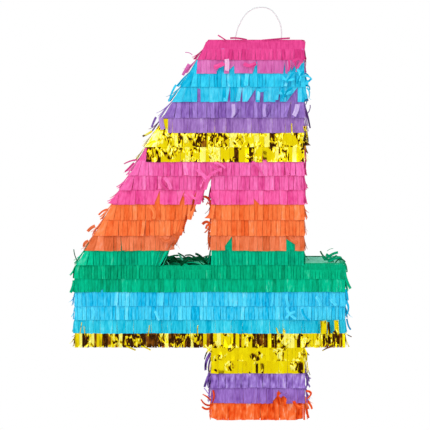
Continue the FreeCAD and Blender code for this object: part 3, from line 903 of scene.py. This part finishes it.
# The sheets over flat tops and undersides, by row: name, left and right ends, level, way up, and tone. The
# hole's sheet is painted dark as shade, and the stub's pale as painted light and sheen on its top.
covers = {
    1: [("top_cover", top_left, stem_right, card_top, 1, 0.4)],
    16: [
        # Painted shade: the sheet in the hole is given a dark tone.
        ("hole_cover", hole_left, stem_left, bar_top, 1, -0.5),
        # Painted light and sheen: the sheet on the stub is given a pale tone, as its top lit from above.
        ("stub_cover", stem_right, stub_right, bar_top + stub_puff, 1, 2.4),
    ],
    21: [
        ("arm_cover", arm_left, stem_left, bar_bottom, -1, 0.4),
        ("stub_under_cover", stem_right, stub_right, bar_bottom, -1, 0.4),
    ],
    26: [("sole_cover", stem_left, stem_right, card_foot, -1, 0.4)],
}

# The curled ends that stand up from the bar's top edge in the hole. Their tones paint most of them dark as
# shade in the hole, and a few pale as glints.
chance = random.Random(7)
for _ in range(70):
    x, z = chance.uniform(hole_left / MM + 1, stem_left / MM - 3), bar_top / MM + chance.uniform(-0.5, 2.0)
    rise, aside = chance.uniform(2, 11), chance.uniform(5, 20) * chance.choice((-1, 1))
    far = min(max(x + aside, hole_left / MM + 4), stem_left / MM)
    bend = ((x + far) / 2, z + rise * chance.uniform(0.5, 0.9))
    end = (far, z + rise * chance.uniform(0.6, 1.0))
    # Painted shade and glints: the tone of each curled end.
    tone = chance.choice((-1.2, -1.0, -0.8, -0.5, -0.2, 0.4, 1.5))
    rolls = (chance.uniform(-50, 50), chance.uniform(-70, 70))
    strands.append((16, (x, z), bend, end, chance.uniform(-37, -8), chance.uniform(0.8, 2.6), tone, *rolls))

for number, node_name in enumerate(row_nodes, 1):
    dye = node_name.split("_")[3]
    low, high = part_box(node_name)
    tab, lift, twist, wild, crumple, cup = habits[dye]
    below = row_nodes[number].split("_")[3] if number < len(row_nodes) else "card"
    row = {
        "top": high.z + hem_up.get(number - 1, 0) * MM,
        "bottom": low.z + hem_up.get(number, 0) * MM,
        "tab": tab * MM,
        "lift": lift,
        "twist": twist,
        "wild": wild,
        "crumple": crumple * MM,
        "cup": cup * MM,
        "side_lift": side_lift[number],
        "gap": (slit_width[dye] if below == dye else narrow_slit) * MM,
        "follow": (1.0, 0.6),
    } | habits_of_row.get(number, {})
    if dye == "gold":
        material = metallised_film(f"gold_film_row_{number:02d}", crumpled_film[number])
    else:
        folded = folded_tissue.get(number, 0)
        material = dyed_tissue(f"{dye}_tissue_row_{number:02d}", *row_papers[number], folded)
    parts = []
    cuts = torn.get(number, ())
    for i, (limb, start, stop, options) in enumerate(strips_of_row(number)):
        parts.append(fringe(f"strip_{i}", row, limb, start, stop, 100 * number + i, cuts=cuts, **options))
    for i, (name, x_low, x_high, z, up, tone) in enumerate(covers.get(number, ())):
        parts.append(cover(name, x_low, x_high, z, 100 * number + 50 + i, up, tone))
    for of_row, *ends, y, width, tone, roll_start, roll_end in strands:
        if of_row == number:
            parts.append(loose_strand(ends, y, width, tone, roll_start, roll_end))
    finish_sheet(parts, f"fringe_{number:02d}_{dye}", material, "carton", node_name)
    if number in door_nodes:
        # The flap's own fringe, cut through with the flap so that it goes on across the rows beside it.
        row["top"] = min(row["top"], crease_z - crease_bare)
        row["bottom"] = max(row["bottom"], door_bottom)
        header = "none" if number == min(door_nodes) else "short"
        ends = ("back", door_right), ("back", door_left)
        strip = fringe("flap_strip", row, "bar", *ends, 100 * number + 70, header=header)
        name = f"flap_fringe_{number:02d}_{dye}"
        finish_sheet([strip], name, material, "flap", door_nodes[number])


# ---- The studio ----
# The camera stands level with the top of the pinata and looks a little down at its middle. Broad soft lamps
# light the front, the top and the back, and the floor is a plain pale one, well below the hanging pinata.

floor_z = -1.3
bpy.ops.mesh.primitive_circle_add(vertices=96, radius=3.2, fill_type="NGON", location=(0, 0, floor_z))
floor = bpy.context.object
floor.name = "floor"
floor_material, _, floor_shader = new_material("floor_matte")
floor_shader.inputs["Base Color"].default_value = colour("#efefef")
floor_shader.inputs["Roughness"].default_value = 0.9
floor.data.materials.append(floor_material)

camera_data = bpy.data.cameras.new("camera")
camera_data.lens = 168.67
camera_data.sensor_width = 36
camera = bpy.data.objects.new("camera", camera_data)
bpy.context.collection.objects.link(camera)
middle_x = -0.0435
camera.location = (middle_x, -2.0375, -0.032)
aim = Vector((middle_x, -0.0375, -0.206))
camera.rotation_euler = (aim - camera.location).to_track_quat("-Z", "Y").to_euler()
bpy.context.scene.camera = camera


def lamp(name, place, size, power):
    """A square area light, turned towards the middle of the pinata."""
    data = bpy.data.lights.new(name, "AREA")
    data.size = size
    data.energy = power
    light = bpy.data.objects.new(name, data)
    bpy.context.collection.objects.link(light)
    light.location = place
    light.rotation_euler = (Vector((-0.04, 0, -0.22)) - Vector(place)).to_track_quat("-Z", "Y").to_euler()


lamp("key", (-1.3, -1.7, 1.3), 2.6, 41)
lamp("fill", (1.5, -1.9, 0.3), 1.6, 14)
lamp("back_key", (1.2, 1.9, 1.2), 2.0, 26)
lamp("back_fill", (-1.5, 1.7, 0.2), 2.0, 14)

world = bpy.data.worlds.new("studio")
bpy.context.scene.world = world
world.use_nodes = True
sky = world.node_tree
sky.nodes.clear()
# What the film mirrors is a white room with warm dark patches all round, but not straight ahead or behind.
way = add_node(sky, "ShaderNodeTexCoord", {}).outputs["Generated"]
patches = add_node(sky, "ShaderNodeMapRange", {0: mottle(sky, way, 2.6, 1.0), 1: 0.49, 2: 0.53})
ahead = worked_out(sky, "ABSOLUTE", add_node(sky, "ShaderNodeSeparateXYZ", {"Vector": way}).outputs["Y"])
to_the_sides = add_node(sky, "ShaderNodeMapRange", {0: ahead, 1: 0.93, 2: 0.89})
dark = worked_out(sky, "MULTIPLY", patches.outputs[0], to_the_sides.outputs[0])
white = (1, 1, 1, 1)
room = blend(sky, dark, white, (0.1, 0.035, 0.01, 1))
path = add_node(sky, "ShaderNodeLightPath", {}).outputs
soft, mirrored, backdrop = (
    add_node(sky, "ShaderNodeBackground", {"Color": tint, "Strength": strength}).outputs[0]
    for tint, strength in ((white, 0.5), (room, 1.0), (white, 1.0))
)
lit = add_node(sky, "ShaderNodeMixShader", {0: path["Is Glossy Ray"], 1: soft, 2: mirrored}).outputs[0]
seen = add_node(sky, "ShaderNodeMixShader", {0: path["Is Camera Ray"], 1: lit, 2: backdrop}).outputs[0]
add_node(sky, "ShaderNodeOutputWorld", {"Surface": seen})
bpy.context.scene.view_settings.view_transform = "Standard"
